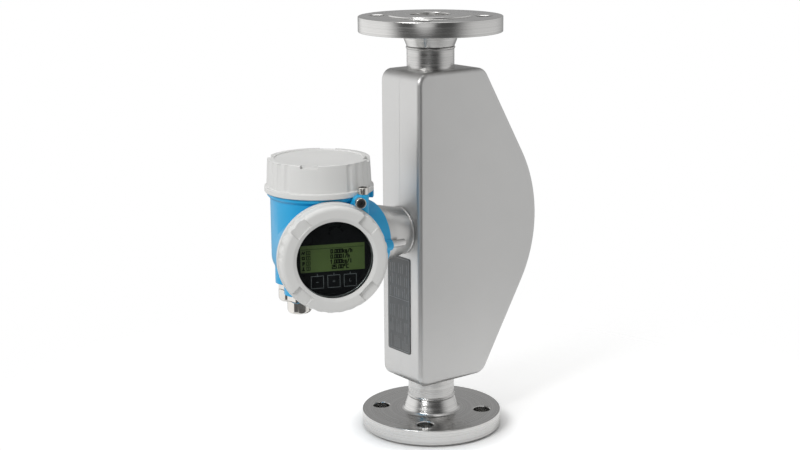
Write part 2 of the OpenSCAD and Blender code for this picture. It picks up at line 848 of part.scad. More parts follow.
module housing_lock_screw()
  color(steel)
    at_housing()
      lug_place()
        difference() {
          translate([0, 0, collar_reach / 2 + 6.5])
            turned_disc(lock_screw_d / 2, collar_reach / 2 - 6.5 + lock_screw_l, 0.5);
          translate([0, 0, collar_reach + lock_screw_l - 3]) hexagon(4, 4);
        }

// ---------- inside the transmitter ----------

module electronics_module() {
  module_t = case_back - face_gap - display_back;
  color("dimgray")
    at_display(display_back)
      difference() {
        union() {
          cylinder(r = display_bore_r - 2, h = module_t * 0.5);
          translate([-26, -22, 0]) cube([52, 44, module_t]);
        }
        for (a = [45 : 90 : 315])
          rotate(a) translate([display_bore_r - 5, 0, -eps]) cylinder(d = 3.2, h = module_t);
      }
}

module io_module() {
  t = 9;
  color([0.12, 0.12, 0.13])
    at_lid(module_shelf_z)
      difference() {
        cylinder(r = bore_r - 1.5, h = t);
        translate([-chamber_d, -chamber_r, -eps])
          cube([chamber_d - gland_side + gland_r, chamber_d, t + 1]);
        translate([-chamber_r, -chamber_d - partition_back + 1.5, -eps])
          cube([chamber_d, chamber_d, t + 1]);
      }
}

block_l = 34;
block_w = 18;
block_h = 14;
terminal_pitch = 5;
terminal_rows = 6;

module at_block()
  at_lid(module_shelf_z + 9) translate([10, 0, 0]) children();

module terminal_block()
  color([0.1, 0.35, 0.2])
    at_block()
      difference() {
        translate([-block_w / 2, -block_l / 2, 0]) cube([block_w, block_l, block_h]);
        for (i = [0 : terminal_rows - 1]) {
          y = (i - (terminal_rows - 1) / 2) * terminal_pitch;
          translate([2, y, block_h - 7]) cylinder(d = 4, h = 8, $fn = 32);
          translate([-block_w / 2 - eps, y, 4]) rotate([0, 90, 0]) cylinder(d = 3, h = 6, $fn = 24);
        }
      }

module terminal_screws()
  color(nickel)
    at_block()
      for (i = [0 : terminal_rows - 1])
        translate([2, (i - (terminal_rows - 1) / 2) * terminal_pitch, block_h - 7])
          difference() {
            cylinder(d = 3.8, h = 4, $fn = 32);
            translate([-2, -0.4, 3]) cube([4, 0.8, 2]);
          }

// ---------- covers ----------

// Groups of shallow grip flutes round a wall of radius r
module flute_cuts(r, z0, h, clock) {
  cutter_r = 5;
  for (g = [0 : 2], i = [0 : flutes - 1])
    rotate(clock + g * 120 + (i - (flutes - 1) / 2) * flute_pitch)
      translate([r + cutter_r - flute_depth, 0, z0])
        cylinder(r = cutter_r, h = h, $fn = 32);
}

module seal_groove(z0)
  translate([0, 0, z0 - eps]) ring(thread_r + 1 + groove_w, thread_r + 1, groove_w + eps);

// Turned cap with a lip, grip flutes and four tool notches
module connection_cover() {
  wall_h = lid_h - cover_lip_h;
  bevel = 1.5;
  plate = 3.6;
  rim_r = lid_top_d / 2;
  recess_r = rim_r - 7;
  notch_r = thread_r + seat_fit + 0.8;
  color(cover_white)
    at_lid(lid_z0)
      difference() {
        union() {
          turned_disc(lip_r, cover_lip_h, 1);
          difference() {
            union() {
              translate([0, 0, cover_lip_h - eps])
                cylinder(d1 = lid_root_d, d2 = lid_top_d, h = wall_h - bevel);
              translate([0, 0, lid_h - bevel - 2 * eps])
                cylinder(r1 = rim_r, r2 = rim_r - bevel, h = bevel);
            }
            flute_cuts(lid_root_d / 2 - 0.6, cover_lip_h, lid_h, lid_clock);
          }
        }
        translate([0, 0, -eps]) cylinder(r = thread_r + seat_fit, h = lid_h - plate);
        translate([0, 0, lid_h - 1]) cylinder(r = recess_r, h = 2);
        for (a = [45 : 90 : 315])
          rotate(a - 45 + lid_notch_clock)
            translate([notch_r, -notch_w / 2, lid_h - notch_depth]) cube([10, notch_w, 10]);
        seal_groove(0);
      }
}

module connection_cover_seal()
  color(black) at_lid(lid_z0 + seal_d / 2 - 0.1) torus(thread_r + 1 + groove_w / 2, seal_d);

// Ring cover with a window, a rounded shoulder and four tool notches
module display_cover() {
  wall_r = display_wall_d / 2;
  face_r = wall_r - shoulder;
  window_r = window_d / 2;
  bevel_r = window_r + 3.6;
  shoulder_steps = [for (a = [0 : 15 : 90]) [face_r + shoulder * cos(a), display_cover_h - shoulder + shoulder * sin(a)]];
  color(cover_white)
    at_display(cover_back)
      difference() {
        union() {
          turned_disc(lip_r, cover_lip_h, 1);
          difference() {
            rotate_extrude()
              polygon(concat([[0, 1], [wall_r, 1]], shoulder_steps, [[0, display_cover_h]]));
            flute_cuts(wall_r, cover_lip_h, display_cover_h, -90);
          }
        }
        translate([0, 0, -eps]) cylinder(r = thread_r + seat_fit, h = glass_back - cover_back + eps);
        cylinder(r = glass_r + seat_fit, h = cover_shelf - cover_back);
        cylinder(r = window_r, h = display_cover_h + 1);
        translate([0, 0, display_cover_h - 1.4])
          cylinder(r1 = window_r + 0.6, r2 = bevel_r, h = 1.4 + eps);
        for (a = [45 : 90 : 315])
          rotate(a)
            translate([bevel_r, -notch_w / 2, display_cover_h - notch_depth])
              cube([20, notch_w, 10]);
        seal_groove(0);
      }
}

glass_r = thread_r - 3;

module display_glass()
  color([0.2, 0.22, 0.24, 0.3]) at_display(glass_back) cylinder(r = glass_r, h = glass_t);

module glass_gasket()
  color(black)
    at_display(glass_back + glass_t) ring(glass_r, window_d / 2 + 0.5, cover_shelf - glass_back - glass_t);

module glass_ring()
  color(satin)
    at_display(glass_back - ring_t)
      difference() {
        ring(thread_r, window_d / 2, ring_t);
        for (a = [0, 180]) rotate(a) translate([window_d / 2 + 3, 0, -eps]) cylinder(d = 2.5, h = 1.5, $fn = 24);
      }

module display_cover_seal()
  color(black) at_display(cover_back + seal_d / 2 - 0.1) torus(thread_r + 1 + groove_w / 2, seal_d);

// ---------- display ----------

screen_t = 2;

module display_front()
  color(black)
    at_display(case_front)
      difference() {
        cylinder(d = front_plate_d, h = front_plate_t);
        translate([-lcd_w / 2 - seat_fit, -lcd_h / 2 - seat_fit, front_plate_t - screen_t])
          cube([lcd_w + 2 * seat_fit, lcd_h + 2 * seat_fit, screen_t + 1]);
      }

module display_screen()
  color([0.33, 0.4, 0.2])
    at_display(front_plate_d1 - screen_t)
      translate([-lcd_w / 2, -lcd_h / 2, 0]) cube([lcd_w, lcd_h, screen_t - 0.2]);

module display_case()
  color([0.15, 0.15, 0.16])
    at_display(case_back)
      difference() {
        union() {
          cylinder(d = front_plate_d - 6, h = 3);
          translate([-lcd_w / 2, -front_plate_d / 4, 0])
            cube([lcd_w, front_plate_d / 2, display_case_t]);
        }
        translate([0, 0, -eps]) cylinder(d = 10, h = 4);
      }

// ---------- clamps, glands ----------

module clamp_head(seat)
  translate([clamp_reach, 0, seat])
    difference() {
      turned_disc(clamp_d / 2, clamp_h, 0.6);
      translate([0, 0, -eps]) cylinder(d = clamp_screw_d + 2 * seat_fit, h = clamp_h + 1);
      translate([0, 0, clamp_h - 4]) cylinder(d = clamp_d * 0.75, h = 5);
    }

module clamp_screw(seat)
  translate([clamp_reach, 0, seat])
    difference() {
      union() {
        translate([0, 0, -clamp_boss_drop / 3])
          cylinder(d = clamp_screw_d, h = clamp_boss_drop / 3 + clamp_h - 3);
        translate([0, 0, clamp_h - 4]) turned_disc(clamp_d * 0.75 / 2 - seat_fit, 3.4, 0.4);
      }
      translate([0, 0, clamp_h - 2.6]) hexagon(4, 3);
    }

module connection_cover_clamp()
  color(nickel) at_lid() rotate([0, 0, lid_clamp_turn]) clamp_head(lid_seat + lid_clamp_rise);

module display_cover_clamp()
  color(nickel) at_display()
    rotate([0, 0, display_clamp_turn]) clamp_head(display_seat + display_clamp_rise);

module clamp_screws()
  color([0.25, 0.25, 0.26]) {
    at_lid() rotate([0, 0, lid_clamp_turn]) clamp_screw(lid_seat + lid_clamp_rise);
    at_display()
      rotate([0, 0, display_clamp_turn]) clamp_screw(display_seat + display_clamp_rise);
  }

washer_t = 1;
gland_hex_h = 5;
gland_neck_h = 8;
gland_body_bore_d = gland_thread_d - 6;

// Local -Z runs out of the housing, the origin is on the boss face
module gland_body()
  difference() {
    union() {
      translate([0, 0, -washer_t])
        cylinder(r = gland_r - thread_fit, h = gland_boss_z + chamber_floor + washer_t);
      translate([0, 0, -washer_t - gland_hex_h]) hexagon(gland_flats, gland_hex_h);
      translate([0, 0, -washer_t - gland_hex_h - gland_neck_h])
        cylinder(d = gland_thread_d - 1, h = gland_neck_h + eps);
    }
    translate([0, 0, -40]) cylinder(d = gland_body_bore_d, h = 80);
  }

// Cap nut: a hexagon turned round at its lower end
module gland_nut() {
  z1 = -washer_t - gland_hex_h - 0.2;
  dome = 4;
  nut_r = gland_nut_d / 2;
  difference() {
    translate([0, 0, z1 - gland_nut_l])
      intersection() {
        hexagon(gland_nut_d * 0.94, gland_nut_l);
        rotate_extrude()
          polygon(concat(
            [[0, 0]],
            [for (a = [-90 : 15 : 0]) [nut_r - dome + dome * cos(a), dome + dome * sin(a)]],
            [[nut_r, gland_nut_l - 1], [nut_r - 1, gland_nut_l], [0, gland_nut_l]]
          ));
      }
    translate([0, 0, z1 - gland_neck_h - 0.2])
      cylinder(d = gland_thread_d - 1 + 2 * seat_fit, h = gland_neck_h + 1);
    translate([0, 0, z1 - 2 * gland_nut_l]) cylinder(d = gland_cable_d + 3, h = 3 * gland_nut_l);
  }
}

module gland_insert()
  translate([0, 0, -washer_t - gland_hex_h - gland_neck_h])
    ring(gland_body_bore_d / 2 - seat_fit, gland_cable_d / 2, gland_neck_h);

module gland_washer()
  translate([0, 0, -washer_t]) ring(gland_flats / 2, gland_r + seat_fit, washer_t);

module gland_body_front() color(nickel) at_housing() at_gland(0) gland_body();
module gland_body_rear() color(nickel) at_housing() at_gland(1) gland_body();
module gland_nut_front() color(nickel) at_housing() at_gland(0) gland_nut();
module gland_nut_rear() color(nickel) at_housing() at_gland(1) gland_nut();
module gland_insert_front() color(black) at_housing() at_gland(0) gland_insert();
module gland_insert_rear() color(black) at_housing() at_gland(1) gland_insert();
module gland_washer_front() color(black) at_housing() at_gland(0) gland_washer();
module gland_washer_rear() color(black) at_housing() at_gland(1) gland_washer();

flange_bottom();
flange_top();
pipe_stub_bottom();
pipe_stub_top();
splitter_bottom();
splitter_top();
measuring_tube_front();
measuring_tube_rear();
brace_plate_1();
brace_plate_2();
brace_plate_3();
brace_plate_4();
support_beam();
coil_brackets();
magnet_brackets();
drive_coil();
pickoff_coil_bottom();
pickoff_coil_top();
drive_magnet();
pickoff_magnet_bottom();
pickoff_magnet_top();
temperature_sensor();
casing_shell_front();
casing_shell_rear();
nameplate();
sensor_neck();
neck_seal();
feedthrough();
feedthrough_pins();
transmitter_housing();
housing_lock_screw();
electronics_module();
io_module();
terminal_block();
terminal_screws();
connection_cover();
connection_cover_seal();
display_cover();
display_glass();
glass_gasket();
glass_ring();
display_cover_seal();
display_front();
display_case();
display_screen();
connection_cover_clamp();
display_cover_clamp();
clamp_screws();
gland_body_front();
gland_body_rear();
gland_nut_front();
gland_nut_rear();
gland_insert_front();
gland_insert_rear();
gland_washer_front();
gland_washer_rear();
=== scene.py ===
"""Looks of the coriolis flow meter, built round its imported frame. Lengths in mm until they reach a mesh."""
import json
import math

import bmesh
import bpy
from mathutils import Matrix, Vector


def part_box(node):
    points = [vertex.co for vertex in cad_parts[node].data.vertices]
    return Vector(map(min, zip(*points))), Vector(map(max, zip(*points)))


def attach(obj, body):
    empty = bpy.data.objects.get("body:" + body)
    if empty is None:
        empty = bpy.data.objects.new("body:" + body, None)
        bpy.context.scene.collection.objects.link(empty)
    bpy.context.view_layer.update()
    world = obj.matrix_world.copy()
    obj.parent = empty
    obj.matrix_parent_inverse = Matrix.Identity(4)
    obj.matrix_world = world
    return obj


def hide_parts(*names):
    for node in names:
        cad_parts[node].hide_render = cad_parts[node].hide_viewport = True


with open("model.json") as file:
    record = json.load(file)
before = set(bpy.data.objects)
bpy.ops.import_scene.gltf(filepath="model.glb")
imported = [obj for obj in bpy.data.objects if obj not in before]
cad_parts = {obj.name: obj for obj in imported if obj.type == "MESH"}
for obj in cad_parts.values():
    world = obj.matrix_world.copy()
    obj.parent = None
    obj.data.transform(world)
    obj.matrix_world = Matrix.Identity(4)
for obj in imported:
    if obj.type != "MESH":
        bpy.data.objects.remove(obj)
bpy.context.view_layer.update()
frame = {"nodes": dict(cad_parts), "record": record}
nodes = frame["nodes"]

# ---------- dimensions shared with the part's source ----------
FACE_TO_FACE = 445.0
MID_Z = FACE_TO_FACE / 2
FLANGE_R = 75.0
RIM_T = 16.0
RAISED_R = 44.0
RAISED_T = 2.0
BOLT_R = 55.0
BOLT_HOLE_R = 9.0
BORE_R = 21.5
PIPE_R = 24.75
HUB_R = 30.5
HUB_H = 15.0
STUB_END = 62.0
CASING_H = 333.0
CASING_BACK = 41.0
CASING_BULGE = 121.0
CASING_T = 66.0
BULGE_R = 142.8
SLANT = math.radians(30)
EDGE_R = 5.0
BACK_CORNER_R = 12.0
SLANT_CORNER_R = 15.0
NECK_L = 39.0
COLLAR_REACH = 62.0
DISPLAY_TURN = math.radians(22)
CHAMBER_R = 49.0
CHAMBER_BORE_R = 44.0
COVER_FLANGE_R = 52.0
LID_SEAT = 56.2
DISPLAY_SEAT = 50.2
THREAD_R = 46.0
LIP_R = 54.5
FACE_GAP = 0.3
WINDOW_R = 38.0
GLASS_R = 43.0
FRONT_PLATE_R = 40.5
LCD_W = 64.0
LCD_H = 27.0
CLAMP_REACH = 60.0
CLAMP_R = 5.2
GLAND_SIDE = 26.5
GLAND_BOSS_Z = 44.0

MM = 0.001


# ---------- frames: local millimetres to the row frame ----------
def turn(axis, degrees):
    return Matrix.Rotation(math.radians(degrees), 4, axis)


def shift(x, y, z):
    return Matrix.Translation((x, y, z))


ROW = Matrix.Scale(MM, 4)
LID = ROW @ shift(-(CASING_BACK + NECK_L + COLLAR_REACH), 0, MID_Z) @ Matrix.Rotation(-DISPLAY_TURN, 4, "Z")
DISPLAY = LID @ turn("X", 90)
NECK = ROW @ shift(-CASING_BACK, 0, MID_Z) @ turn("Y", -90)
LOWER = ROW
UPPER = ROW @ shift(0, 0, FACE_TO_FACE) @ Matrix.Scale(-1, 4, (0, 0, 1))


# ---------- mesh helpers ----------
def finish_mesh(obj, sharp=32):
    mesh = bmesh.new()
    mesh.from_mesh(obj.data)
    bmesh.ops.remove_doubles(mesh, verts=mesh.verts, dist=1e-7)
    bmesh.ops.recalc_face_normals(mesh, faces=mesh.faces)
    mesh.to_mesh(obj.data)
    mesh.free()
    obj.data.shade_smooth()
    obj.data.set_sharp_from_angle(angle=math.radians(sharp))
    return obj


def make(name, where, points, faces, sharp=32):
    mesh = bpy.data.meshes.new(name)
    mesh.from_pydata([where @ Vector(p) for p in points], [], faces)
    obj = bpy.data.objects.new(name, mesh)
    bpy.context.scene.collection.objects.link(obj)
    return finish_mesh(obj, sharp)


def soften(points, radius, steps=4):
    """Rounds each corner of a profile by about radius, leaving its two ends as they are."""
    out = [points[0]]
    for before, corner, after in zip(points, points[1:], points[2:]):
        if corner[0] < 1e-6:
            out.append(corner)
            continue
        a = Vector(before) - Vector(corner)
        b = Vector(after) - Vector(corner)
        reach = min(radius, a.length * 0.45, b.length * 0.45)
        start = Vector(corner) + a.normalized() * reach
        end = Vector(corner) + b.normalized() * reach
        for i in range(steps + 1):
            t = i / steps
            out.append(tuple((1 - t) ** 2 * start + 2 * t * (1 - t) * Vector(corner) + t * t * end))
    out.append(points[-1])
    return out


def lathe(name, where, profile, steps=144, closed=False, bend=None, sharp=32):
    """Turns (radius, height) pairs round local Z. bend(radius, height, angle) may change a radius."""
    points = []
    rings = []
    for r, z in profile:
        if r < 1e-6:
            rings.append([len(points)])
            points.append((0, 0, z))
            continue
        ring = []
        for i in range(steps):
            a = 2 * math.pi * i / steps
            q = bend(r, z, a) if bend else r
            ring.append(len(points))
            points.append((q * math.cos(a), q * math.sin(a), z))
        rings.append(ring)
    pairs = list(zip(rings, rings[1:]))
    if closed:
        pairs.append((rings[-1], rings[0]))
    faces = []
    for low, high in pairs:
        for i in range(steps):
            j = (i + 1) % steps
            if len(low) == 1 and len(high) == 1:
                break
            if len(low) == 1:
                faces.append((low[0], high[j], high[i]))
            elif len(high) == 1:
                faces.append((low[i], low[j], high[0]))
            else:
                faces.append((low[i], low[j], high[j], high[i]))
    return make(name, where, points, faces, sharp)


def turned(name, where, profile, radius=0.6, **options):
    """Lathe of a solid whose profile starts and ends on the axis, with softened edges."""
    return lathe(name, where, soften(profile, radius), **options)


def ring_profile(r_in, r_out, z0, z1, radius=0.4):
    loop = [((r_in + r_out) / 2, z0), (r_out, z0), (r_out, z1), (r_in, z1), (r_in, z0), ((r_in + r_out) / 2, z0)]
    return soften(loop, radius)[:-1]


def cylinder(where, r, z0, z1, r2=None, steps=144):
    r2 = r if r2 is None else r2
    return lathe("cutter", where, [(0, z0), (r, z0), (r2, z1), (0, z1)], steps=steps)


def block(where, x0, x1, y0, y1, z0, z1):
    points = [(x, y, z) for x in (x0, x1) for y in (y0, y1) for z in (z0, z1)]
    faces = [(0, 1, 3, 2), (4, 6, 7, 5), (0, 4, 5, 1), (2, 3, 7, 6), (0, 2, 6, 4), (1, 5, 7, 3)]
    return make("cutter", where, points, faces)


def prism(where, sides, flats, z0, z1):
    r = flats / 2 / math.cos(math.pi / sides)
    return lathe("cutter", where, [(0, z0), (r, z0), (r, z1), (0, z1)], steps=sides)


def carve(obj, tool, operation="DIFFERENCE"):
    step = obj.modifiers.new("step", "BOOLEAN")
    step.operation = operation
    step.solver = "MANIFOLD"
    step.object = tool
    view = bpy.context.evaluated_depsgraph_get()
    mesh = bpy.data.meshes.new_from_object(obj.evaluated_get(view))
    obj.modifiers.clear()
    old = obj.data
    obj.data = mesh
    bpy.data.meshes.remove(old)
    bpy.data.objects.remove(tool)
    return obj


def join(name, parts, sharp=32):
    """One object out of several loose pieces."""
    whole = bmesh.new()
    for part in parts:
        whole.from_mesh(part.data)
        bpy.data.objects.remove(part)
    mesh = bpy.data.meshes.new(name)
    whole.to_mesh(mesh)
    whole.free()
    obj = bpy.data.objects.new(name, mesh)
    bpy.context.scene.collection.objects.link(obj)
    obj.data.shade_smooth()
    obj.data.set_sharp_from_angle(angle=math.radians(sharp))
    return obj


# ---------- materials ----------
class Paint:
    """A node material with a Principled shader and short ways to add to it."""

    def __init__(self, name, color, metallic=0.0, roughness=0.5, **sockets):
        self.material = bpy.data.materials.new(name)
        self.material.use_nodes = True
        self.tree = self.material.node_tree
        self.shader = self.tree.nodes["Principled BSDF"]
        self.set("Base Color", (*color, 1.0))
        self.set("Metallic", metallic)
        self.set("Roughness", roughness)
        for key, value in sockets.items():
            self.set(key.replace("_", " "), value)
        self.material.diffuse_color = (*color, 1.0)

    def set(self, socket, value):
        self.shader.inputs[socket].default_value = value

    def node(self, kind, **values):
        made = self.tree.nodes.new(kind)
        for key, value in values.items():
            key = key.replace("_", " ")
            if key in made.inputs:
                made.inputs[key].default_value = value
            else:
                setattr(made, key.replace(" ", "_"), value)
        return made

    def link(self, a, b):
        self.tree.links.new(a, b)

    def place(self):
        return self.node("ShaderNodeTexCoord").outputs["Object"]

    def noise(self, scale, detail=3.0, stretch=None, where=None):
        where = where or self.place()
        if stretch:
            mapping = self.node("ShaderNodeMapping")
            mapping.inputs["Scale"].default_value = stretch
            self.link(where, mapping.inputs["Vector"])
            where = mapping.outputs["Vector"]
        made = self.node("ShaderNodeTexNoise", Scale=scale, Detail=detail)
        self.link(where, made.inputs["Vector"])
        return made.outputs["Fac"]

    def spread(self, value, low, high, socket):
        made = self.node("ShaderNodeMapRange")
        made.inputs["From Min"].default_value = 0.3
        made.inputs["From Max"].default_value = 0.7
        made.inputs["To Min"].default_value = low
        made.inputs["To Max"].default_value = high
        self.link(value, made.inputs["Value"])
        self.link(made.outputs["Result"], self.shader.inputs[socket])

    def tint(self, value, dark, light):
        ramp = self.node("ShaderNodeValToRGB")
        ramp.color_ramp.elements[0].position = 0.3
        ramp.color_ramp.elements[0].color = (*dark, 1.0)
        ramp.color_ramp.elements[1].position = 0.7
        ramp.color_ramp.elements[1].color = (*light, 1.0)
        self.link(value, ramp.inputs["Fac"])
        self.link(ramp.outputs["Color"], self.shader.inputs["Base Color"])

    def bump(self, value, distance, strength=1.0, soft_edge=0.0):
        made = self.node("ShaderNodeBump", Strength=strength, Distance=distance)
        self.link(value, made.inputs["Height"])
        if soft_edge:
            edge = self.node("ShaderNodeBevel", Radius=soft_edge)
            self.link(edge.outputs["Normal"], made.inputs["Normal"])
        self.link(made.outputs["Normal"], self.shader.inputs["Normal"])

    def turned_lines(self, per_metre):
        """Noise along the distance from the pipe axis and the height: the marks a lathe leaves."""
        split = self.node("ShaderNodeSeparateXYZ")
        self.link(self.place(), split.inputs["Vector"])
        flat = self.node("ShaderNodeCombineXYZ")
        self.link(split.outputs["X"], flat.inputs["X"])
        self.link(split.outputs["Y"], flat.inputs["Y"])
        reach = self.node("ShaderNodeVectorMath", operation="LENGTH")
        self.link(flat.outputs["Vector"], reach.inputs[0])
        lines = self.node("ShaderNodeCombineXYZ")
        self.link(reach.outputs["Value"], lines.inputs["X"])
        self.link(split.outputs["Z"], lines.inputs["Y"])
        return self.noise(per_metre, 2.0, where=lines.outputs["Vector"])


def shade(color, factor):
    return tuple(min(1.0, c * factor) for c in color)


def powder_coat(name, color, roughness, peel=0.00002):
    paint = Paint(name, color, roughness=roughness)
    cloud = paint.noise(14.0, 2.0)
    paint.tint(cloud, shade(color, 0.97), shade(color, 1.03))
    paint.spread(paint.noise(60.0), roughness - 0.03, roughness + 0.04, "Roughness")
    paint.bump(paint.noise(1400.0, 1.0), peel, 0.6, soft_edge=0.0007)
    return paint.material


def blasted_steel(name, color, roughness):
    paint = Paint(name, color, metallic=1.0, roughness=roughness)
    paint.tint(paint.noise(9.0, 4.0), shade(color, 0.985), shade(color, 1.015))
    paint.spread(paint.noise(35.0, 4.0), roughness - 0.015, roughness + 0.015, "Roughness")
    paint.bump(paint.noise(2600.0, 2.0), 0.00003, 0.5, soft_edge=0.0006)
    return paint.material


def turned_steel(name, color, roughness):
    paint = Paint(name, color, metallic=1.0, roughness=roughness)
    lines = paint.turned_lines(1300.0)
    paint.tint(lines, shade(color, 0.86), shade(color, 1.1))
    paint.spread(paint.turned_lines(500.0), roughness - 0.07, roughness + 0.1, "Roughness")
    paint.bump(lines, 0.00004, 0.7, soft_edge=0.0004)
    return paint.material


def plain(name, color, roughness, metallic=0.0, grain=900.0, **sockets):
    paint = Paint(name, color, metallic=metallic, roughness=roughness, **sockets)
    paint.tint(paint.noise(40.0), shade(color, 0.93), shade(color, 1.07))
    paint.spread(paint.noise(120.0), roughness * 0.85, min(1.0, roughness * 1.15), "Roughness")
    paint.bump(paint.noise(grain, 2.0), 0.00002, 0.4)
    return paint.material


BLUE = (0.01, 0.36, 0.67)
WHITE = (0.66, 0.66, 0.65)
STEEL = (0.56, 0.555, 0.545)

looks = {
    "housing_blue": powder_coat("housing_blue", BLUE, 0.36),
    "cover_white": powder_coat("cover_white", WHITE, 0.42),
    "casing_satin": blasted_steel("casing_satin", (0.52, 0.518, 0.512), 0.42),
    "neck_satin": blasted_steel("neck_satin", (0.52, 0.515, 0.505), 0.4),
    "steel_flange": turned_steel("steel_flange", STEEL, 0.22),
    "steel_pipe": turned_steel("steel_pipe", (0.5, 0.495, 0.487), 0.24),
    "steel_inner": plain("steel_inner", STEEL, 0.35, metallic=1.0),
    "nickel": plain("nickel", (0.62, 0.6, 0.57), 0.2, metallic=1.0),
    "screw_dark": plain("screw_dark", (0.1, 0.1, 0.1), 0.4, metallic=1.0),
    "plate_grey": plain("plate_grey", (0.11, 0.112, 0.112), 0.5, metallic=0.0),
    "seal_black": plain("seal_black", (0.02, 0.02, 0.021), 0.6),
    "display_black": plain("display_black", (0.006, 0.006, 0.007), 0.3, Specular_IOR_Level=0.12),
    "module_black": plain("module_black", (0.03, 0.03, 0.033), 0.5),
    "terminal_green": plain("terminal_green", (0.03, 0.16, 0.07), 0.45),
    "coil_copper": plain("coil_copper", (0.6, 0.3, 0.14), 0.35, metallic=1.0),
    "magnet_dark": plain("magnet_dark", (0.25, 0.25, 0.26), 0.3, metallic=1.0),
    "pin_gold": plain("pin_gold", (0.65, 0.5, 0.22), 0.25, metallic=1.0),
    "screen_olive": plain("screen_olive", (0.085, 0.125, 0.03), 0.35),
}
glass = Paint("glass_clear", (0.9, 0.93, 0.93), roughness=0.02)
see_through = glass.node("ShaderNodeBsdfTransparent")
see_through.inputs["Color"].default_value = (0.9, 0.93, 0.93, 1)
shine = glass.node("ShaderNodeBsdfGlossy", Roughness=0.05)
glass_mix = glass.node("ShaderNodeMixShader")
glass_film = glass.node("ShaderNodeMapRange")
glass_film.inputs["To Min"].default_value = 0.008
glass_film.inputs["To Max"].default_value = 0.016
glass.link(glass.noise(8.0), glass_film.inputs["Value"])
glass.link(glass_film.outputs["Result"], glass_mix.inputs["Fac"])
glass.link(see_through.outputs[0], glass_mix.inputs[1])
glass.link(shine.outputs[0], glass_mix.inputs[2])
glass.link(glass_mix.outputs[0], glass.tree.nodes["Material Output"].inputs["Surface"])
looks["glass_clear"] = glass.material
print_line = plain("print_line", (0.36, 0.365, 0.365), 0.5)
key_line = plain("key_line", (0.22, 0.23, 0.23), 0.5)
lcd_mark = plain("lcd_mark", (0.003, 0.005, 0.002), 0.5, Specular_IOR_Level=0.1)

slot_of = {entry["node"]: entry["material_slot"] for entry in frame["record"]["subparts"]}
for name, node in nodes.items():
    node.data.materials.clear()
    node.data.materials.append(looks[slot_of[name]])


def dress(obj, body, look, *stands_for):
    obj.data.materials.clear()
    obj.data.materials.append(looks[look])
    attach(obj, body)
    if stands_for:
        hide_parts(*stands_for)
    return obj


# ---------- process connections ----------
def flange(name, where):
    rim = RAISED_T + RIM_T
    top = rim + HUB_H
    profile = [
        (BORE_R, top / 2), (BORE_R, 0), (RAISED_R, 0), (RAISED_R, RAISED_T), (FLANGE_R, RAISED_T),
        (FLANGE_R, rim), (HUB_R + 2.0, rim), (HUB_R - 0.6, rim + 2.2), (PIPE_R, top), (BORE_R, top), (BORE_R, top / 2),
    ]
    obj = lathe(name, where, soften(profile, 0.9)[:-1], steps=192, closed=True)
    for i in range(4):
        spot = where @ turn("Z", 45 + 90 * i) @ shift(BOLT_R, 0, 0)
        carve(obj, lathe("cutter", spot, [
            (0, 0), (BOLT_HOLE_R + 1.2, 0), (BOLT_HOLE_R + 1.2, RAISED_T), (BOLT_HOLE_R, RAISED_T + 0.8),
            (BOLT_HOLE_R, rim - 0.8), (BOLT_HOLE_R + 1.2, rim + 0.4), (BOLT_HOLE_R + 1.2, rim + 3), (0, rim + 3),
        ], steps=64))
    return finish_mesh(obj)


def stub(name, where):
    hub_top = RAISED_T + RIM_T + HUB_H
    profile = [
        (BORE_R, hub_top + 8), (BORE_R, hub_top), (PIPE_R + 0.4, hub_top), (PIPE_R + 0.9, hub_top + 0.8),
        (PIPE_R + 0.8, hub_top + 1.8), (PIPE_R, hub_top + 2.6), (PIPE_R, STUB_END), (BORE_R, STUB_END), (BORE_R, hub_top + 8),
    ]
    return lathe(name, where, soften(profile, 0.5)[:-1], closed=True)


for end, where in (("bottom", LOWER), ("top", UPPER)):
    dress(flange("flange_look_" + end, where), "sensor", "steel_flange", "flange_" + end)
    dress(stub("stub_look_" + end, where), "sensor", "steel_pipe", "pipe_stub_" + end)


# ---------- casing ----------
def casing_outline(inset):
    """Points (x, height from the middle) round the casing's side view."""
    half = CASING_H / 2
    arc_x = CASING_BULGE - BULGE_R
    tangent_x = arc_x + BULGE_R * math.cos(SLANT)
    tangent_z = BULGE_R * math.sin(SLANT)
    corner_x = tangent_x - (half - tangent_z) * math.tan(SLANT)
    slant_x = corner_x - SLANT_CORNER_R * math.tan((math.pi / 2 - SLANT) / 2)
    back_x = BACK_CORNER_R - CASING_BACK
    arcs = [
        (back_x, BACK_CORNER_R - half, BACK_CORNER_R, 180, 270, 12),
        (slant_x, SLANT_CORNER_R - half, SLANT_CORNER_R, 270, 330, 10),
        (arc_x, 0, BULGE_R, -30, 30, 56),
        (slant_x, half - SLANT_CORNER_R, SLANT_CORNER_R, 30, 90, 10),
        (back_x, half - BACK_CORNER_R, BACK_CORNER_R, 90, 180, 12),
    ]
    out = []
    for x, z, r, start, stop, steps in arcs:
        for i in range(steps + 1):
            a = math.radians(start + (stop - start) * i / steps)
            out.append((x + (r - inset) * math.cos(a), z + (r - inset) * math.sin(a)))
    return out


def casing_half(name, side):
    depth = CASING_T / 2
    seam = 0.04
    levels = [(seam, 0.0), (seam, seam), (0.0, 2 * seam), (0.0, depth - EDGE_R)]
    steps = 8
    for i in range(1, steps + 1):
        a = math.pi / 2 * i / steps
        levels.append((EDGE_R * (1 - math.cos(a)), depth - EDGE_R * (1 - math.sin(a))))
    points = []
    loops = []
    for inset, y in levels:
        loop = []
        for x, z in casing_outline(inset):
            loop.append(len(points))
            points.append((x, side * y, MID_Z + z))
        loops.append(loop)
    faces = []
    for low, high in zip(loops, loops[1:]):
        for i in range(len(low)):
            j = (i + 1) % len(low)
            faces.append((low[i], low[j], high[j], high[i]))
    faces.append(tuple(loops[0]))
    faces.append(tuple(loops[-1]))
    return make(name, ROW, points, faces, sharp=25)


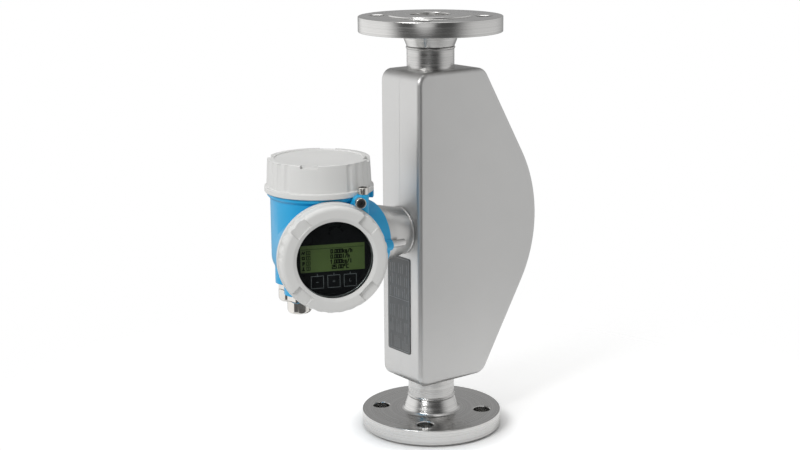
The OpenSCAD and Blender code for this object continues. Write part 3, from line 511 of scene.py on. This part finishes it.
dress(casing_half("casing_look_front", -1), "sensor", "casing_satin", "casing_shell_front")
dress(casing_half("casing_look_rear", 1), "sensor", "casing_satin", "casing_shell_rear")

# ---------- neck ----------
neck_profile = [
    (0, 0), (25.2, 0), (25.6, 1.0), (24.6, 2.0), (24.8, 3.2), (30.2, 27.0), (30.3, 32.4),
    (31.4, 32.7), (32.5, 33.4), (32.5, 38.0), (31.8, 38.7), (24.0, 38.7), (24.0, 55.7), (15.0, 55.7), (15.0, 20.0), (0, 20.0),
]
dress(turned("neck_look", NECK, neck_profile, 0.5), "sensor", "neck_satin", "sensor_neck")

# ---------- nameplate ----------
plate_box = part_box("nameplate")


def plate_bar(y0, y1, z0, z1):
    """A thin printed rule on the nameplate, proud of its face."""
    face = plate_box[0][0] / MM
    return block(ROW, face - 0.06, face + 0.2, y0, y1, z0, z1)


PLATE_Y = (plate_box[0][1] / MM, plate_box[1][1] / MM)
PLATE_Z = (plate_box[0][2] / MM, plate_box[1][2] / MM)
PLATE_SPLIT = PLATE_Z[0] + 58.0
RULE = 0.3
edge_y = (PLATE_Y[0] + 1.6, PLATE_Y[1] - 1.6)
edge_z = (PLATE_Z[0] + 1.6, PLATE_Z[1] - 1.6)
rules = [plate_bar(y, y + RULE, *edge_z) for y in edge_y]
rules += [plate_bar(edge_y[0], edge_y[1] + RULE, z, z + RULE) for z in (*edge_z, PLATE_SPLIT)]
for row in range(9):
    y = edge_y[0] + 3.4 + row * 3.5
    for low, high, pitch in ((edge_z[0] + 2.0, PLATE_SPLIT - 2.0, 17.0), (PLATE_SPLIT + 2.0, edge_z[1] - 2.0, 13.0)):
        z = low
        step = 0
        while z < high - pitch:
            run = pitch * (0.45 + 0.4 * abs(math.sin(1.7 * row + 2.3 * step)))
            if (row + step) % 4 != 3:
                rules.append(plate_bar(y, y + 0.4, z, z + run))
            z += pitch
            step += 1
plate_rules = join("nameplate_rules", rules)
plate_rules.data.materials.append(print_line)
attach(plate_rules, "sensor")


# ---------- transmitter housing ----------
def lying(r, low, high, r2=None):
    return cylinder(DISPLAY, r, low, high, r2)


COLLAR = LID @ Matrix.Rotation(DISPLAY_TURN, 4, "Z") @ turn("Y", 90)


def clamp_boss(where, seat, rise):
    drop = 22.0
    low = seat - drop
    boss = lathe("boss", where @ shift(CLAMP_REACH, 0, 0), soften([
        (0, low - CLAMP_R), (1, low - CLAMP_R), (CLAMP_R + 0.5, low), (CLAMP_R + 0.5, seat + rise), (0, seat + rise),
    ], 0.5), steps=48)
    return carve(boss, block(where, CHAMBER_R - 2.5, CLAMP_REACH, -CLAMP_R, CLAMP_R, low, seat), "UNION")


lug_place = (
    LID @ Matrix.Rotation(DISPLAY_TURN, 4, "Z") @ turn("X", 4.3) @ shift(0, -36.5, 0) @ turn("Y", 90)
)
lid_clamp_place = LID @ turn("Z", -57)
display_clamp_place = DISPLAY @ turn("Z", 62.7)
gland_places = [LID @ shift(-GLAND_SIDE, y, -GLAND_BOSS_Z) for y in (-20.0, 27.0)]


def build_housing():
    flange_t = 3.2
    bevel = COVER_FLANGE_R - CHAMBER_R
    body = lathe("housing_look", LID, soften([
        (0, -CHAMBER_R - 2), (CHAMBER_R, -CHAMBER_R - 2), (CHAMBER_R, LID_SEAT - flange_t - bevel),
        (COVER_FLANGE_R, LID_SEAT - flange_t), (COVER_FLANGE_R, LID_SEAT), (THREAD_R, LID_SEAT),
        (THREAD_R, LID_SEAT + 10), (0, LID_SEAT + 10),
    ], 0.5))
    far = 2 * CHAMBER_R
    carve(body, block(LID, -30, 30, -far, -DISPLAY_SEAT - 0.05, LID_SEAT - 20, LID_SEAT + 20))
    carve(body, block(LID @ turn("Z", -20), CHAMBER_R - 3, LIP_R - 0.2, -4.5, 4.5, LID_SEAT - 6.4, LID_SEAT - 0.04), "UNION")
    belly_cut = block(LID, -far, far, -far, far, -far, 0)
    carve(belly_cut, lying(CHAMBER_R, -far - 5, far + 5))
    carve(body, belly_cut)
    barrel_r = CHAMBER_R - 0.02
    carve(body, lathe("barrel", DISPLAY, soften([
        (0, 0), (barrel_r, 0), (barrel_r, DISPLAY_SEAT - flange_t - bevel), (COVER_FLANGE_R, DISPLAY_SEAT - flange_t),
        (COVER_FLANGE_R, DISPLAY_SEAT), (THREAD_R, DISPLAY_SEAT), (THREAD_R, DISPLAY_SEAT + 7), (0, DISPLAY_SEAT + 7),
    ], 0.5)), "UNION")
    carve(body, lathe("collar", COLLAR, soften([
        (0, 3), (38, 3), (38, COLLAR_REACH - 1.5), (36.5, COLLAR_REACH), (0, COLLAR_REACH)], 0.4)), "UNION")
    carve(body, cylinder(lug_place, 5.9, 31, 61, steps=48), "UNION")
    for place in gland_places:
        carve(body, cylinder(place, 15.3, -20, 0.05, steps=64))
        carve(body, lathe("boss", place, soften([
            (0, 0), (15, 0), (15, 31), (6, 53), (0, 53)], 0.8), steps=64), "UNION")
    bosses = clamp_boss(lid_clamp_place, LID_SEAT, 3.3)
    carve(bosses, clamp_boss(display_clamp_place, DISPLAY_SEAT, 6.8), "UNION")
    carve(bosses, cylinder(LID, LIP_R + FACE_GAP, LID_SEAT, LID_SEAT + 33))
    carve(bosses, lying(LIP_R + FACE_GAP, DISPLAY_SEAT, DISPLAY_SEAT + 33))
    carve(body, bosses, "UNION")
    # hollows behind the covers and in the collar
    carve(body, cylinder(LID, CHAMBER_BORE_R, 14, LID_SEAT + 11))
    carve(body, lying(41.5, 33.5, DISPLAY_SEAT + 8))
    carve(body, cylinder(COLLAR, 24.05, 44.5, COLLAR_REACH + 1))
    carve(body, cylinder(lug_place, 3.9, 40, 70, steps=48))
    for place in gland_places:
        carve(body, cylinder(place, 10.1, -1, 12, steps=64))
    return finish_mesh(body, 28)


dress(build_housing(), "transmitter", "housing_blue", "transmitter_housing")

# ---------- covers ----------
FLUTES = 5
FLUTE_PITCH = 12.0
FLUTE_HALF = 3.4
FLUTE_DEPTH = 0.9


def fluted(clock, low, high, wall_r):
    """Three groups of shallow grip flutes in a wall between two heights."""
    centres = [clock + g * 120 + (i - (FLUTES - 1) / 2) * FLUTE_PITCH for g in range(3) for i in range(FLUTES)]

    def bend(r, z, a):
        if r < wall_r - 3 or z < low or z > high:
            return r
        degrees = math.degrees(a)
        for c in centres:
            off = abs((degrees - c + 180) % 360 - 180)
            if off < FLUTE_HALF:
                return r - FLUTE_DEPTH * (1 - (off / FLUTE_HALF) ** 2)
        return r

    return bend


def build_connection_cover():
    z0 = LID_SEAT + FACE_GAP
    top = z0 + 33.0
    lip = z0 + 5.5
    recess = 44.0
    profile = [
        (THREAD_R + 0.1, z0 + 15), (THREAD_R + 0.1, z0), (47.0, z0), (47.0, z0 + 2.5), (49.6, z0 + 2.5), (49.6, z0),
        (LIP_R, z0), (LIP_R, lip), (52.4, lip), (51.0, top), (recess, top), (recess, top - 1), (0, top - 1),
        (0, top - 3.6), (THREAD_R + 0.1, top - 3.6),
    ]
    cut = soften(profile, 0.9, 5)
    low_edge = [p for p in cut]
    obj = lathe("connection_cover_look", LID, low_edge, steps=480, closed=True,
                bend=fluted(-43.0, lip + 0.3, top - 0.8, 51.0))
    for i in range(4):
        spot = LID @ turn("Z", 67 + 90 * i)
        carve(obj, block(spot, 46.0, 60, -8.5, 8.5, top - 3.2, top + 5))
    return finish_mesh(obj)


def build_display_cover():
    z0 = DISPLAY_SEAT + FACE_GAP
    face = z0 + 19.5
    lip = z0 + 5.5
    wall = 53.25
    shoulder = 4.5
    curve = [(wall - shoulder * (1 - math.cos(a)), face - shoulder * (1 - math.sin(a)))
             for a in [math.pi / 2 * i / 8 for i in range(9)]]
    shelf = face - 3.4
    glass_back = shelf - 0.8 - 4.8
    profile = (
        [(THREAD_R + 0.1, z0 + 4), (THREAD_R + 0.1, z0), (47.0, z0), (47.0, z0 + 2.5), (49.6, z0 + 2.5), (49.6, z0),
         (LIP_R, z0), (LIP_R, lip), (wall, lip)]
        + curve
        + [(41.6, face), (38.6, face - 1.4), (WINDOW_R, face - 1.6), (WINDOW_R, shelf), (GLASS_R + 0.1, shelf),
           (GLASS_R + 0.1, glass_back), (THREAD_R + 0.1, glass_back), (THREAD_R + 0.1, z0 + 4)]
    )
    obj = lathe("display_cover_look", DISPLAY, soften(profile, 0.6, 4)[:-1], steps=480, closed=True,
                bend=fluted(-90.0, lip + 0.3, face - 1.5, wall - 2))
    for i in range(4):
        spot = DISPLAY @ turn("Z", 45 + 90 * i)
        carve(obj, block(spot, 41.6, 70, -9.2, 9.2, face - 2.4, face + 8))
    return finish_mesh(obj)


dress(build_connection_cover(), "connection_cover", "cover_white", "connection_cover")
dress(build_display_cover(), "display_cover", "cover_white", "display_cover")

# ---------- window and display ----------
cover_face = DISPLAY_SEAT + FACE_GAP + 19.5
shelf = cover_face - 3.4
dress(turned("glass_look", DISPLAY, [(0, shelf - 5.6), (GLASS_R, shelf - 5.6), (GLASS_R, shelf - 0.8), (0, shelf - 0.8)], 0.2),
      "display_cover", "glass_clear", "display_glass")
dress(lathe("gasket_look", DISPLAY, ring_profile(38.5, GLASS_R, shelf - 0.8, shelf, 0.1), closed=True),
      "display_cover", "seal_black", "glass_gasket")
dress(lathe("glass_ring_look", DISPLAY, ring_profile(WINDOW_R, THREAD_R, shelf - 8.6, shelf - 5.6, 0.3), closed=True),
      "display_cover", "steel_inner", "glass_ring")

plate_face = DISPLAY_SEAT + 7 - 0.4


def build_front_plate():
    obj = turned("display_front_look", DISPLAY, [
        (0, plate_face - 4), (FRONT_PLATE_R, plate_face - 4), (FRONT_PLATE_R, plate_face), (0, plate_face)], 0.5)
    carve(obj, block(DISPLAY, -LCD_W / 2, LCD_W / 2, -LCD_H / 2, LCD_H / 2, plate_face - 2, plate_face + 1))
    return finish_mesh(obj)


dress(build_front_plate(), "display_module", "display_black", "display_front")


def stroke(x0, y0, x1, y1, width, height, lift=0.12):
    """A straight printed line on the display, from one point to another."""
    run = Vector((x1 - x0, y1 - y0))
    place = DISPLAY @ shift(x0, y0, height) @ Matrix.Rotation(math.atan2(run.y, run.x), 4, "Z")
    return block(place, -width / 2, run.length + width / 2, -width / 2, width / 2, 0, lift)


DIGITS = {
    "0": [(0, 0, 1, 0), (1, 0, 1, 2), (1, 2, 0, 2), (0, 2, 0, 0)],
    "1": [(0.6, 0, 0.6, 2), (0.6, 2, 0.2, 1.6)],
    "2": [(0, 2, 1, 2), (1, 2, 1, 1), (1, 1, 0, 1), (0, 1, 0, 0), (0, 0, 1, 0)],
    "5": [(1, 2, 0, 2), (0, 2, 0, 1), (0, 1, 1, 1), (1, 1, 1, 0), (1, 0, 0, 0)],
    ".": [(0.4, 0, 0.5, 0)],
    "k": [(0, 0, 0, 2), (0, 0.7, 0.8, 1.4), (0.2, 0.8, 0.8, 0)],
    "g": [(0.8, 1.4, 0, 1.4), (0, 1.4, 0, 0.4), (0, 0.4, 0.8, 0.4), (0.8, 1.4, 0.8, -0.4), (0.8, -0.4, 0, -0.4)],
    "h": [(0, 0, 0, 2), (0, 1.2, 0.8, 1.2), (0.8, 1.2, 0.8, 0)],
    "l": [(0.4, 0, 0.4, 2)],
    "/": [(0, 0, 0.8, 2)],
    "C": [(1, 0, 0, 0), (0, 0, 0, 2), (0, 2, 1, 2)],
    "o": [(0.1, 1.4, 0.6, 1.4), (0.6, 1.4, 0.6, 2), (0.6, 2, 0.1, 2), (0.1, 2, 0.1, 1.4)],
}


def number(text, x, y, height, size, width):
    """Seven-segment style figures, right edge at x, base at y."""
    parts = []
    pen = x
    for letter in reversed(text):
        step = size * (0.55 if letter == "." else 1.0)
        pen -= step
        for x0, y0, x1, y1 in DIGITS[letter]:
            k = size * 0.64
            parts.append(stroke(pen + x0 * k, y + y0 * k, pen + x1 * k, y + y1 * k, width, height))
    return parts


screen_face = plate_face - 0.2
marks = []
rows = [6.2, 1.0, -4.2, -9.4]
marks.append(stroke(-31, 9.6, 31, 9.6, 0.3, screen_face))
for text, edge, y in zip(("0.000kg/h", "0.000l/h", "1.000kg/l", "25.00oC"), (20.6, 17.8, 20.0, 16.4), rows):
    marks += number(text, edge, y - 1.6, screen_face, 2.6, 1.0)
    left = -25.8
    for x0, y0, x1, y1 in ((0, 0, 3.4, 0), (3.4, 0, 3.4, 3.4), (3.4, 3.4, 0, 3.4), (0, 3.4, 0, 0), (1.7, 0.9, 1.7, 2.5)):
        marks.append(stroke(left + x0, y - 1.7 + y0, left + x1, y - 1.7 + y1, 0.6, screen_face))
for y, form in zip(rows, (
    ((0, 0, 1, 2), (1, 2, 2, 0), (2, 0, 3, 2)),
    ((0.5, 0, 2.5, 0), (2.5, 0, 2.5, 2.4), (2.5, 2.4, 0.5, 2.4), (0.5, 2.4, 0.5, 0)),
    ((1, -0.6, 1, 2.2), (1, 2.2, 2.4, 2.2), (2.4, 2.2, 2.4, 0.8), (2.4, 0.8, 1, 0.8)),
    ((1.5, -0.4, 1.5, 2.4), (0.6, -0.4, 2.4, -0.4)),
)):
    for x0, y0, x1, y1 in form:
        marks.append(stroke(-30.6 + x0, y - 1 + y0, -30.6 + x1, y - 1 + y1, 0.9, screen_face))
figures = join("screen_figures", marks)
figures.data.materials.append(lcd_mark)
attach(figures, "display_module")

keys = []
for kx in (-15.6, 0.9, 17.2):
    ky = -23.7
    k = 6.1
    for x0, y0, x1, y1 in ((-k, -k, k, -k), (k, -k, k, k), (k, k, -k, k), (-k, k, -k, -k), (0, k, 0, k + 2.2)):
        keys.append(stroke(kx + x0, ky + y0, kx + x1, ky + y1, 0.34, plate_face, 0.08))
keys += [stroke(-16.8, -23.7, -14.4, -23.7, 0.3, plate_face, 0.08),
         stroke(-0.3, -23.7, 2.1, -23.7, 0.3, plate_face, 0.08), stroke(0.9, -24.9, 0.9, -22.5, 0.3, plate_face, 0.08),
         stroke(16.6, -24.9, 16.6, -22.5, 0.3, plate_face, 0.08), stroke(16.6, -24.9, 18.2, -24.9, 0.3, plate_face, 0.08)]
key_frames = join("touch_key_frames", keys)
key_frames.data.materials.append(key_line)
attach(key_frames, "display_module")


# ---------- clamps, lock screw, glands ----------
def build_clamp(name, place, base):
    obj = turned(name, place @ shift(CLAMP_REACH, 0, base), [(0, 0), (CLAMP_R, 0), (CLAMP_R, 7), (0, 7)], 0.7, steps=64)
    carve(obj, cylinder(place @ shift(CLAMP_REACH, 0, base), 2.6, -1, 4, steps=32))
    carve(obj, cylinder(place @ shift(CLAMP_REACH, 0, base), 3.9, 3, 8, steps=48))
    return finish_mesh(obj)


dress(build_clamp("connection_clamp_look", lid_clamp_place, LID_SEAT + 3.3), "transmitter", "nickel", "connection_cover_clamp")
dress(build_clamp("display_clamp_look", display_clamp_place, DISPLAY_SEAT + 6.8), "transmitter", "nickel", "display_cover_clamp")


def build_lock_screw():
    obj = turned("lock_screw_look", lug_place, [(0, 40), (3.7, 40), (3.7, 78.5), (0, 78.5)], 0.6, steps=64)
    carve(obj, prism(lug_place, 6, 4.0, 75.5, 80))
    return finish_mesh(obj)


dress(build_lock_screw(), "transmitter", "steel_inner", "housing_lock_screw")


def build_gland_nut(name, place):
    z1 = -6.2
    nut_r = 12.0
    length = 13.0
    dome = 4.0
    profile = [(0, z1 - length)]
    for i in range(9):
        a = math.pi / 2 * (i / 8 - 1)
        profile.append((nut_r - dome + dome * math.cos(a), z1 - length + dome + dome * math.sin(a)))
    profile += [(nut_r, z1 - 1), (nut_r - 1, z1), (0, z1)]
    obj = lathe(name, place, profile, steps=96)
    carve(obj, prism(place, 6, nut_r * 2 * 0.94, z1 - length - 1, z1 + 1), "INTERSECT")
    carve(obj, cylinder(place, 9.6, z1 - 8.2, z1 + 1, steps=64))
    carve(obj, cylinder(place, 6.0, z1 - 26, z1 + 1, steps=64))
    return finish_mesh(obj, 25)


def build_gland_body(name, place):
    obj = turned(name, place, [(0, -14), (9.5, -14), (9.5, -6), (9.5, -1), (9.7, -1), (9.7, 12), (0, 12)], 0.3, steps=96)
    carve(obj, prism(place, 6, 21.0, -6, -1), "UNION")
    carve(obj, cylinder(place, 7.0, -40, 40, steps=64))
    return finish_mesh(obj, 25)


for side, place in zip(("front", "rear"), gland_places):
    dress(build_gland_nut("gland_nut_look_" + side, place), "transmitter", "nickel", "gland_nut_" + side)
    dress(build_gland_body("gland_body_look_" + side, place), "transmitter", "nickel", "gland_body_" + side)
    dress(lathe("gland_insert_look_" + side, place, ring_profile(4.5, 6.9, -14, -6, 0.4), closed=True, steps=64),
          "transmitter", "seal_black", "gland_insert_" + side)

# ---------- stage ----------
scene = bpy.context.scene


def stage_paint():
    """Pale floor that fades into the white background away from the object."""
    paint = Paint("stage_floor", (0.9, 0.9, 0.9), roughness=0.9)
    paint.tint(paint.noise(3.0), (0.89, 0.89, 0.89), (0.91, 0.91, 0.91))
    paint.set("Emission Color", (1, 1, 1, 1))
    reach = paint.node("ShaderNodeVectorMath", operation="LENGTH")
    paint.link(paint.place(), reach.inputs[0])
    glow = paint.node("ShaderNodeMapRange", interpolation_type="SMOOTHSTEP")
    glow.inputs["From Min"].default_value = 0.07
    glow.inputs["From Max"].default_value = 0.1
    glow.inputs["To Max"].default_value = 0.35
    paint.link(reach.outputs["Value"], glow.inputs["Value"])
    paint.link(glow.outputs["Result"], paint.shader.inputs["Emission Strength"])
    fade = paint.node("ShaderNodeMapRange", interpolation_type="SMOOTHSTEP")
    fade.inputs["From Min"].default_value = 0.12
    fade.inputs["From Max"].default_value = 0.55
    paint.link(reach.outputs["Value"], fade.inputs["Value"])
    clear = paint.node("ShaderNodeBsdfTransparent")
    both = paint.node("ShaderNodeMixShader")
    paint.link(fade.outputs["Result"], both.inputs["Fac"])
    paint.link(paint.shader.outputs[0], both.inputs[1])
    paint.link(clear.outputs[0], both.inputs[2])
    paint.link(both.outputs[0], paint.tree.nodes["Material Output"].inputs["Surface"])
    return paint.material


floor = make("floor", Matrix.Identity(4), [(-6, -6, -0.0005), (6, -6, -0.0005), (6, 6, -0.0005), (-6, 6, -0.0005)], [(0, 1, 2, 3)])
floor.data.materials.append(stage_paint())


def lamp(name, spot, aim, size, size_y, power, tint=(1, 1, 1)):
    data = bpy.data.lights.new(name, "AREA")
    data.shape = "RECTANGLE"
    data.size = size
    data.size_y = size_y
    data.energy = power
    data.color = tint
    obj = bpy.data.objects.new(name, data)
    scene.collection.objects.link(obj)
    obj.location = spot
    obj.rotation_euler = (Vector(aim) - Vector(spot)).to_track_quat("-Z", "Y").to_euler()
    return obj


centre = (0.0, 0.0, 0.22)
lamp("key", (-1.4, -0.4, 1.3), centre, 0.6, 0.6, 16)
lamp("top", (0.1, 0.2, 1.9), centre, 1.2, 1.2, 7)

world = bpy.data.worlds.new("studio")
scene.world = world
world.use_nodes = True
tree = world.node_tree
tree.nodes.clear()
path = tree.nodes.new("ShaderNodeLightPath")
either = tree.nodes.new("ShaderNodeMath")
either.operation = "MAXIMUM"
tree.links.new(path.outputs["Is Camera Ray"], either.inputs[0])
tree.links.new(path.outputs["Is Transmission Ray"], either.inputs[1])
seen = tree.nodes.new("ShaderNodeMath")
seen.operation = "MAXIMUM"
tree.links.new(either.outputs[0], seen.inputs[0])
tree.links.new(path.outputs["Is Glossy Ray"], seen.inputs[1])


def soft_box(total, heading, edge, core, level):
    """Adds a soft white panel of the studio, at a heading, to what metal reflects."""
    along = tree.nodes.new("ShaderNodeVectorMath")
    along.operation = "DOT_PRODUCT"
    tree.links.new(heading_out, along.inputs[0])
    along.inputs[1].default_value = Vector(heading).normalized()
    glow = tree.nodes.new("ShaderNodeMapRange")
    glow.interpolation_type = "SMOOTHSTEP"
    for socket, value in (("From Min", edge), ("From Max", core), ("To Min", 0.0), ("To Max", level)):
        glow.inputs[socket].default_value = value
    tree.links.new(along.outputs["Value"], glow.inputs["Value"])
    add = tree.nodes.new("ShaderNodeMath")
    add.inputs[1].default_value = STUDIO_DARK
    if total is not None:
        tree.links.new(total, add.inputs[1])
    tree.links.new(glow.outputs["Result"], add.inputs[0])
    return add.outputs[0]


STUDIO_DARK = 0.1
heading_out = tree.nodes.new("ShaderNodeTexCoord").outputs["Generated"]
panels = None
for panel in (
    ((-0.60, 0.77, -0.15), 0.5, 0.9, 1.2),
    ((0.85, -0.5, -0.1), 0.4, 0.97, 0.8),
    ((0, 0, 1), 0.6, 0.97, 0.7),
    ((0.6, 0.77, 0.3), 0.6, 0.95, 0.3),
    ((-0.72, -0.67, 0.15), 0.93, 0.985, 0.9),
):
    panels = soft_box(panels, *panel)
level = tree.nodes.new("ShaderNodeMix")
level.data_type = "FLOAT"
level.inputs["A"].default_value = 1.0
tree.links.new(path.outputs["Is Glossy Ray"], level.inputs["Factor"])
tree.links.new(panels, level.inputs["B"])
white = tree.nodes.new("ShaderNodeBackground")
white.inputs["Color"].default_value = (1, 1, 1, 1)
tree.links.new(level.outputs["Result"], white.inputs["Strength"])
fill = tree.nodes.new("ShaderNodeBackground")
fill.inputs["Color"].default_value = (1.0, 1.0, 0.99, 1)
fill.inputs["Strength"].default_value = 0.5
mix = tree.nodes.new("ShaderNodeMixShader")
out = tree.nodes.new("ShaderNodeOutputWorld")
tree.links.new(seen.outputs[0], mix.inputs["Fac"])
tree.links.new(fill.outputs[0], mix.inputs[1])
tree.links.new(white.outputs[0], mix.inputs[2])
tree.links.new(mix.outputs[0], out.inputs["Surface"])

# ---------- camera ----------
camera_data = bpy.data.cameras.new("camera")
camera = bpy.data.objects.new("camera", camera_data)
scene.collection.objects.link(camera)
camera_data.lens = 68.03
camera_data.sensor_width = 36.0
yaw = math.radians(37.13)
pitch = math.radians(13.04)
roll = math.radians(-0.39)
forward = Vector((math.sin(yaw) * math.cos(pitch), math.cos(yaw) * math.cos(pitch), -math.sin(pitch)))
right = Vector((math.cos(yaw), -math.sin(yaw), 0))
up = right.cross(forward)
right, up = math.cos(roll) * right + math.sin(roll) * up, math.cos(roll) * up - math.sin(roll) * right
pose = Matrix((
    (right.x, up.x, -forward.x, -0.9704),
    (right.y, up.y, -forward.y, -1.2274),
    (right.z, up.z, -forward.z, 0.5843),
    (0, 0, 0, 1),
))
camera.matrix_world = pose
scene.camera = camera
scene.view_settings.view_transform = "Standard"
